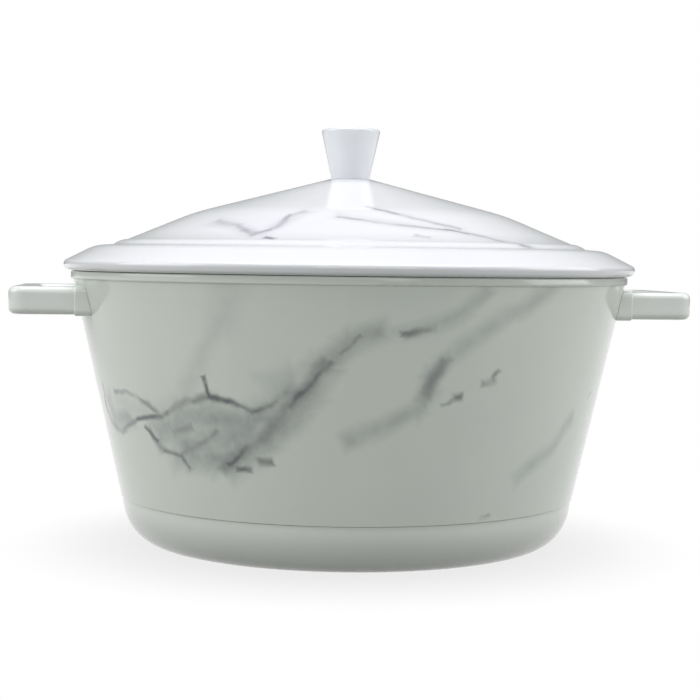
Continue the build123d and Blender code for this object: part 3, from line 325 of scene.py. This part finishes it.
# %% [markdown]
# The lid's print is sparser and cooler. A cone can't be unrolled by height, because its
# slope is shallow, so the second number of each point is the radius in millimetres.

# %% Lid print
lid_washes = [
    (7.0, 0.5, [(-49, 98), (-39, 102), (-31, 110)]), (7.0, 0.5, [(-29, 108), (-26, 98), (-22, 86)]),
    (7.0, 0.4, [(-10, 88), (2, 95), (21, 105), (30, 112), (38, 124)]),
    (6.0, 0.4, [(0, 74), (8, 84), (16, 93), (24, 102)]),
]
lid_shadows = [
    (3.0, 0.75, [(-49, 97), (-39, 101), (-31, 111)]), (3.0, 0.8, [(-31, 111), (-27, 102), (-25, 90)]),
    (2.6, 0.6, [(-25, 90), (-22, 85)]), (2.4, 0.7, [(0, 75), (8, 84), (12, 89), (16, 93), (24, 102)]),
    (2.4, 0.7, [(-10, 89), (-4, 92), (7, 99), (15, 102), (21, 105)]),
    (2.2, 0.6, [(21, 105), (30, 112), (38, 124)]),
]
lid_hairs = [
    (3.0, 0.9, [(-26, 115), (-24, 116)]), (2.0, 0.7, [(-31, 108), (-28, 105)]),
    (1.5, 0.6, [(2, 77), (8, 84)]), (2.6, 0.85, [(10, 111), (12, 112)]),
    (2.0, 0.7, [(20, 104), (24, 108)]), (2.6, 0.6, [(36, 122), (38, 123)]),
]
lid_tones = (tone(0.90, 0.90, 0.94), tone(0.85, 0.85, 0.90), tone(0.55, 0.55, 0.61),
             tone(0.22, 0.22, 0.27))
LID_MM_PER_DEGREE = 1.7
lid_print = marble("marble_lid", "radius", LID_MM_PER_DEGREE, lid_washes, lid_shadows,
                   lid_hairs, lid_tones)
print("lid print", len(lid_washes + lid_shadows + lid_hairs), "paths")

# %% [markdown]
# ## Metals
# The well and the lid's liner are spun or rolled sheet. Spinning leaves fine rings round
# the axis, so the turned finish stretches a noise until it only changes with the radius
# and height. Rolled and plated parts get a fine grain and a few soft stains instead.

# %% Metal finishes
def turned_metal(name, light, shade, rough):
    finish = Finish(name)
    parts = finish.node("SeparateXYZ", Vector=finish.place).outputs
    radius = finish.math("SQRT", finish.math("ADD", finish.math("POWER", parts["X"], 2.0),
                                             finish.math("POWER", parts["Y"], 2.0)))
    rings_at = finish.node("CombineXYZ", X=radius, Z=parts["Z"]).outputs[0]
    rings = finish.noise(1400.0, 3.0, 0.7, at=rings_at)
    stain = finish.noise(24.0, 4.0)
    finish.bump(rings, 0.25, 0.0001)
    return finish.surface(Base_Color=finish.blend(finish.ramp(rings, 0.3, 0.7), light, shade),
                          Metallic=1.0, Roughness=finish.ramp(stain, 0.3, 0.7, rough, rough + 0.1))


def plated(name, light, shade, rough, grain=600.0):
    finish = Finish(name)
    specks = finish.noise(grain, 4.0, 0.7)
    stain = finish.noise(45.0, 3.0)
    finish.bump(specks, 0.15, 0.0001)
    return finish.surface(Base_Color=finish.blend(finish.ramp(stain, 0.35, 0.65), light, shade),
                          Metallic=1.0, Roughness=finish.ramp(specks, 0.3, 0.7, rough, rough + 0.12))


spun_aluminium = turned_metal("spun_aluminium", tone(0.78, 0.79, 0.80), tone(0.66, 0.67, 0.68), 0.24)
bright_steel = turned_metal("bright_steel", tone(0.74, 0.75, 0.76), tone(0.64, 0.65, 0.66), 0.2)
zinc_steel = plated("zinc_steel", tone(0.70, 0.71, 0.73), tone(0.58, 0.60, 0.64), 0.28)
sheath_steel = plated("sheath_steel", tone(0.34, 0.33, 0.32), tone(0.24, 0.21, 0.19), 0.42, 300.0)
brass_parts = plated("brass_parts", tone(0.80, 0.64, 0.32), tone(0.66, 0.50, 0.24), 0.26)
print("metals", spun_aluminium.name, bright_steel.name, zinc_steel.name)

# %% [markdown]
# The stone pan has a dark non-stick coating. It is sprayed over grit-blasted metal, so it
# has a pebbled surface and tiny pale specks. Cell noise makes the specks: each cell has
# its own grey level, and only the palest few show.

# %% Pan coating
def speckled(name, ground, speck):
    finish = Finish(name)
    cells = finish.node("TexVoronoi", Vector=finish.place, Scale=620.0)
    pick = finish.node("SeparateColor", Color=cells.outputs["Color"]).outputs[0]
    chosen = finish.ramp(pick, 0.9, 0.93)
    round_dot = finish.ramp(cells.outputs["Distance"], 0.2, 0.36, 1.0, 0.0)
    shown = finish.math("MULTIPLY", finish.math("MULTIPLY", chosen, round_dot), 0.7)
    finish.bump(finish.noise(900.0, 3.0), 0.3, 0.00015)
    return finish.surface(Base_Color=finish.blend(shown, ground, speck), Roughness=finish.ramp(
        finish.noise(30.0, 3.0), 0.3, 0.7, 0.36, 0.46), IOR=1.45)


pan_coating = speckled("pan_coating", tone(0.05, 0.05, 0.053), tone(0.42, 0.42, 0.43))
print("pan", pan_coating.name)

# %% [markdown]
# ## Small parts
# The mains panel is spark-textured black plastic, the seals and feet are rubber, the
# lagging is mineral felt and the wires have silicone sleeves. Each uses the same idea: two
# close tints mixed by a noise at the scale of the real texture, and a bump at that scale.

# %% Small part finishes
def textured(name, light, shade, rough, scale, strength, **extra):
    finish = Finish(name)
    grain = finish.noise(scale, 4.0, 0.65)
    finish.bump(grain, strength, 0.0002)
    return finish.surface(Base_Color=finish.blend(finish.ramp(grain, 0.35, 0.65), light, shade),
                          Roughness=finish.ramp(grain, 0.3, 0.7, rough, rough + 0.08), **extra)


black_plastic = textured("black_plastic", tone(0.035, 0.035, 0.038), tone(0.022, 0.022, 0.025),
                         0.42, 1500.0, 0.5)
rocker_plastic = textured("rocker_plastic", tone(0.03, 0.03, 0.033), tone(0.022, 0.022, 0.024),
                          0.16, 500.0, 0.05)
lens_plastic = textured("lens_plastic", tone(0.85, 0.30, 0.04), tone(0.78, 0.24, 0.03), 0.08,
                        200.0, 0.03, Transmission_Weight=0.6, IOR=1.49)
lamp_glass = textured("lamp_glass", tone(0.92, 0.88, 0.84), tone(0.88, 0.83, 0.78), 0.04,
                      150.0, 0.02, Transmission_Weight=0.9, IOR=1.47)
bead_ceramic = textured("bead_ceramic", tone(0.80, 0.77, 0.70), tone(0.72, 0.68, 0.60), 0.6,
                        900.0, 0.3)
felt = textured("felt", tone(0.52, 0.49, 0.42), tone(0.40, 0.37, 0.31), 0.85, 700.0, 0.9)
silicone = textured("silicone", tone(0.62, 0.62, 0.61), tone(0.55, 0.55, 0.54), 0.4, 260.0, 0.1,
                    Subsurface_Weight=0.15, Subsurface_Scale=0.002)
foot_rubber = textured("foot_rubber", tone(0.025, 0.025, 0.025), tone(0.016, 0.016, 0.016), 0.7,
                       800.0, 0.4)
wire_brown = textured("wire_brown", tone(0.13, 0.055, 0.025), tone(0.10, 0.04, 0.018), 0.38,
                      400.0, 0.1)
wire_blue = textured("wire_blue", tone(0.03, 0.09, 0.34), tone(0.02, 0.07, 0.28), 0.38, 400.0, 0.1)


def two_colour(name, main, stripe):
    """Earth wire sleeve: green with yellow lengths."""
    finish = Finish(name)
    wave = finish.node("TexWave", {"wave_type": "BANDS"}, Vector=finish.place, Scale=70.0,
                       Distortion=1.5)
    share = finish.ramp(wave.outputs["Fac"], 0.62, 0.66)
    return finish.surface(Base_Color=finish.blend(share, main, stripe), Roughness=finish.ramp(
        finish.noise(300.0), 0.3, 0.7, 0.36, 0.44))


wire_green = two_colour("wire_green", tone(0.03, 0.22, 0.04), tone(0.75, 0.60, 0.04))
print("small part finishes are ready")

# %% [markdown]
# ## Finishing the engineering parts
# Small screws, terminals, wires and the heating parts are already exact in the frame. Their
# meshes are loose triangles, so every facet would show. A merged copy with smooth faces
# and sharp edges kept above a chosen angle looks like the machined part.

# %% Copies of frame nodes
finishes = {
    "marble_plastic": bowl_print, "white_plastic": white_plastic,
    "spun_aluminium": spun_aluminium, "pan_coating": pan_coating,
    "bright_steel": bright_steel, "zinc_steel": zinc_steel, "sheath_steel": sheath_steel,
    "brass_parts": brass_parts, "bead_ceramic": bead_ceramic, "black_plastic": black_plastic,
    "rocker_plastic": rocker_plastic, "lens_plastic": lens_plastic, "lamp_glass": lamp_glass,
    "felt": felt, "silicone": silicone, "foot_rubber": foot_rubber, "wire_brown": wire_brown,
    "wire_blue": wire_blue, "wire_green": wire_green,
}
SHARP_ANGLE = 32
MERGE_GAP = 1e-6
record = frame["record"]
slot_of = {part["node"]: part["material_slot"] for part in record["subparts"]}
body_of = {node: body for body, nodes in record["behaviour"]["bodies"].items() for node in nodes}


def shade(mesh_data, angle):
    """Smooth faces, with edges sharper than angle kept crisp."""
    for face in mesh_data.faces:
        face.smooth = True
    for edge in mesh_data.edges:
        edge.smooth = edge.calc_face_angle(0.0) < math.radians(angle)


def add_piece(name, shape, body, finish, replaced, angle=SHARP_ANGLE):
    """Makes the bmesh an object of the heater, riding on its body."""
    shade(shape, angle)
    data = bpy.data.meshes.new(name)
    shape.to_mesh(data)
    shape.free()
    if "custom_normal" in data.attributes:
        data.attributes.remove(data.attributes["custom_normal"])
    made = bpy.data.objects.new(name, data)
    bpy.context.scene.collection.objects.link(made)
    data.materials.append(finish)
    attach(made, body)
    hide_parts(*replaced)
    return made


def refinished(node, finish=None):
    """A merged, smooth copy of one frame node, in its finish."""
    shape = bmesh.new()
    shape.from_mesh(frame["nodes"][node].data)
    bmesh.ops.remove_doubles(shape, verts=shape.verts, dist=MERGE_GAP)
    slot = slot_of[node]
    return add_piece(node + "_finished", shape, body_of[node], finish or finishes[slot],
                     [node])


print("finishes for", len(finishes), "slots,", len(slot_of), "nodes")


# %% [markdown]
# ## Turned mouldings
# The knob is a body of revolution. It starts as a half outline of a few corner points, the
# corners are rounded while it is still a line, and one spin turns it into the finished
# surface. Bevelling the solid's edge afterwards would also work, but rounding the line
# first gives even, clean fillets.

# %% Spinning an outline
def turned_shape(corners, steps):
    """Spins (radius, height, rounding) corners, in millimetres, about the axis. The outline
    starts and ends on the axis."""
    shape = bmesh.new()
    points = [shape.verts.new((r * MM, 0.0, z * MM)) for r, z, _ in corners]
    for first, second in zip(points, points[1:]):
        shape.edges.new((first, second))
    for point, (_, _, rounding) in zip(points, corners):
        if rounding:
            bmesh.ops.bevel(shape, geom=[point], offset=rounding * MM, offset_type="OFFSET",
                            segments=8 if rounding > 1.0 else 5, profile=0.5,
                            affect="VERTICES", material=-1)
    bmesh.ops.spin(shape, geom=shape.verts[:] + shape.edges[:], axis=(0, 0, 1), cent=(0, 0, 0),
                   steps=steps, angle=2 * math.pi, use_merge=True, use_duplicate=False)
    bmesh.ops.remove_doubles(shape, verts=shape.verts, dist=MERGE_GAP)
    bmesh.ops.recalc_face_normals(shape, faces=shape.faces)
    return shape


print("outlines are spun about the axis")

# %% [markdown]
# The knob flares upwards from a narrow foot and has a rounded top edge. It is a plain
# turned plug with a blind socket below for its brass insert, so its half outline has six
# corners. Its foot and top heights come from the frame.

# %% Knob
low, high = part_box("lid_knob")
foot_z, top_z = low[2] / MM, high[2] / MM
knob_foot_r, knob_top_r, socket_r, socket_depth = 10.0, 15.75, 4.1, 14.5
knob_outline = [
    (0.0, foot_z + socket_depth, 0.0), (socket_r, foot_z + socket_depth, 0.0),
    (socket_r, foot_z, 0.3), (knob_foot_r, foot_z, 0.4), (knob_top_r, top_z, 1.8),
    (0.0, top_z, 0.0),
]
knob = add_piece("knob_turned", turned_shape(knob_outline, 128), "lid",
                 knob_plastic, ["lid_knob"])
print("knob", round(foot_z, 2), "to", round(top_z, 2), "faces", len(knob.data.polygons))

# %% [markdown]
# Every other node keeps its exact shape and gets its finish. The lid's shell has its own
# print, and the two handles a slightly brighter white than the base.

# %% The other nodes
special = {"lid_shell": lid_print, "handle_left": handle_plastic, "handle_right": handle_plastic}
for node in frame["nodes"]:
    if node != "lid_knob":
        refinished(node, special.get(node))
print("finished", len(frame["nodes"]) - 1, "frame nodes")

# %% [markdown]
# ## Studio
# A pale floor, one large overhead softbox, two side boxes and a front fill. The
# overhead light does most of the work, so the lid reads almost white while the wall, which
# leans in towards its foot, stays a soft grey. The floor fades to white away from the bowl.
# Near the bowl it shows a share of its own grey paint, which is painted shade round the foot
# even where lit, on top of the real shadow under the bowl. Light that bounces off the floor
# meets its own grey paint, so the base is lit less from below.

# %% Floor
FLOOR_RADIUS = 6.0
fade_from, fade_to = 0.10, 0.19      # metres from the axis
# White share near the bowl; the rest is the lit grey paint, a painted shade round the foot over the
# real shadow.
whiteness_near = 0.82

floor_shape = bmesh.new()
bmesh.ops.create_circle(floor_shape, cap_ends=True, segments=96, radius=FLOOR_RADIUS)
floor_mesh = bpy.data.meshes.new("floor")
floor_shape.to_mesh(floor_mesh)
floor_shape.free()
floor = bpy.data.objects.new("floor", floor_mesh)
bpy.context.scene.collection.objects.link(floor)


def seen_by(tree, ray_kinds):
    """1 for a ray of any of these kinds, 0 for every other ray."""
    rays = tree.nodes.new("ShaderNodeLightPath").outputs
    seen = rays[ray_kinds[0]]
    for kind in ray_kinds[1:]:
        either = tree.nodes.new("ShaderNodeMath")
        either.operation = "MAXIMUM"
        tree.links.new(seen, either.inputs[0])
        tree.links.new(rays[kind], either.inputs[1])
        seen = either.outputs[0]
    return seen


def mixed(tree, share, first, second, output):
    """Sends the mix of two shaders to the output node."""
    mix = tree.nodes.new("ShaderNodeMixShader")
    tree.links.new(share, mix.inputs[0])
    tree.links.new(first, mix.inputs[1])
    tree.links.new(second, mix.inputs[2])
    tree.links.new(mix.outputs[0], tree.nodes[output].inputs["Surface"])


paint = Finish("floor")
paint.surface(Base_Color=tone(0.20, 0.21, 0.19), Roughness=0.9, Specular_IOR_Level=0.1)
white = paint.node("Emission", Color=tone(1.0, 1.0, 1.0)).outputs[0]
from_axis = paint.vector("LENGTH", paint.place)
# Darker towards the bowl: painted shade round the foot, with the real shadow in the lit part.
fade = paint.ramp(from_axis, fade_from, fade_to, whiteness_near, 1.0, smooth=True)
seen = seen_by(paint.tree, ("Is Camera Ray", "Is Glossy Ray", "Is Transmission Ray"))
mixed(paint.tree, paint.math("MULTIPLY", seen, fade), paint.shader.outputs[0], white,
      "Material Output")
floor.data.materials.append(paint.material)
print("floor fades from", fade_from, "to", fade_to, "m")

# %% [markdown]
# The backdrop is the world. It looks white to the camera and through glass, and lights the
# object with a much weaker, slightly green tint, as a dim studio would. One strength for
# both would either grey the background or flatten the object.

# %% Backdrop
BACKDROP_LIGHT = 0.3

world = bpy.data.worlds.new("backdrop")
world.use_nodes = True
bpy.context.scene.world = world
dim = world.node_tree.nodes["Background"]
dim.inputs["Color"].default_value = tone(0.95, 1.0, 0.96)
dim.inputs["Strength"].default_value = BACKDROP_LIGHT
shown = world.node_tree.nodes.new("ShaderNodeBackground")
shown.inputs["Strength"].default_value = 1.0
shown.inputs["Color"].default_value = tone(1.0, 1.0, 1.0)
seen = seen_by(world.node_tree, ("Is Camera Ray", "Is Transmission Ray"))
mixed(world.node_tree, seen, dim.outputs[0], shown.outputs[0], "World Output")
print("backdrop light", BACKDROP_LIGHT)

# %% [markdown]
# The lamps are rectangular softboxes, because a large lamp gives the soft gradients and
# broad highlights that glossy plastic shows in a studio. Small lamps would leave hard
# spots.

# %% Lamps
def softbox(name, spot, aim, wide, tall, power, tint=(1.0, 1.0, 1.0)):
    """A rectangular area lamp at spot that faces aim."""
    data = bpy.data.lights.new(name, "AREA")
    data.shape, data.size, data.size_y = "RECTANGLE", wide, tall
    data.energy, data.color = power, tint
    lamp = bpy.data.objects.new(name, data)
    lamp.location = spot
    lamp.rotation_euler = (Vector(aim) - Vector(spot)).to_track_quat("-Z", "Y").to_euler()
    bpy.context.scene.collection.objects.link(lamp)
    print(name, power, "W")


softbox("overhead", (0.0, -0.1, 1.5), (0.0, 0.0, 0.15), 1.7, 1.5, 20.0, (0.98, 0.98, 1.0))
softbox("left_box", (-1.5, -0.1, 0.7), (0.0, 0.0, 0.1), 1.1, 1.1, 9.0)
softbox("right_box", (1.5, -0.1, 0.7), (0.0, 0.0, 0.1), 1.1, 1.1, 8.0)
softbox("front_fill", (0.0, -2.2, 0.9), (0.0, 0.0, 0.1), 1.6, 1.0, 7.5)

# %% [markdown]
# ## Camera
# The viewpoint is almost level with the lid's ledge, 0.89 m from the axis and a few degrees
# round to the left, with a slight tilt. Its axes are built by turning the level view by
# those small angles in order, which is easier to adjust than aiming at a target.

# %% Camera
FILM_WIDTH = 36.0


def aimed_camera(distance, height, round_angle, turn, dip, tilt, lens):
    """Metres, radians and millimetres of focal length."""
    data = bpy.data.cameras.new("camera")
    data.lens, data.sensor_width = lens, FILM_WIDTH
    made = bpy.data.objects.new("camera", data)
    level = Matrix.Rotation(round_angle, 3, "Z") @ Matrix.Rotation(math.pi / 2, 3, "X")
    turned = Matrix.Rotation(-turn, 3, "Z") @ level
    pose = turned @ Matrix.Rotation(-dip, 3, "X") @ Matrix.Rotation(tilt, 3, "Z")
    spot = Vector((math.sin(round_angle) * distance, -math.cos(round_angle) * distance, height))
    made.matrix_world = Matrix.Translation(spot) @ pose.to_4x4()
    bpy.context.scene.collection.objects.link(made)
    bpy.context.scene.camera = made
    return made


camera = aimed_camera(distance=0.893, height=0.152, round_angle=math.radians(-6.5),
                      turn=0.00105, dip=0.0549, tilt=0.0128, lens=86.1)
print("camera at", [round(c, 4) for c in camera.location])

# %% [markdown]
# ## Finish
# The Standard view transform keeps whites white.

# %% View transform
bpy.context.scene.view_settings.view_transform = "Standard"
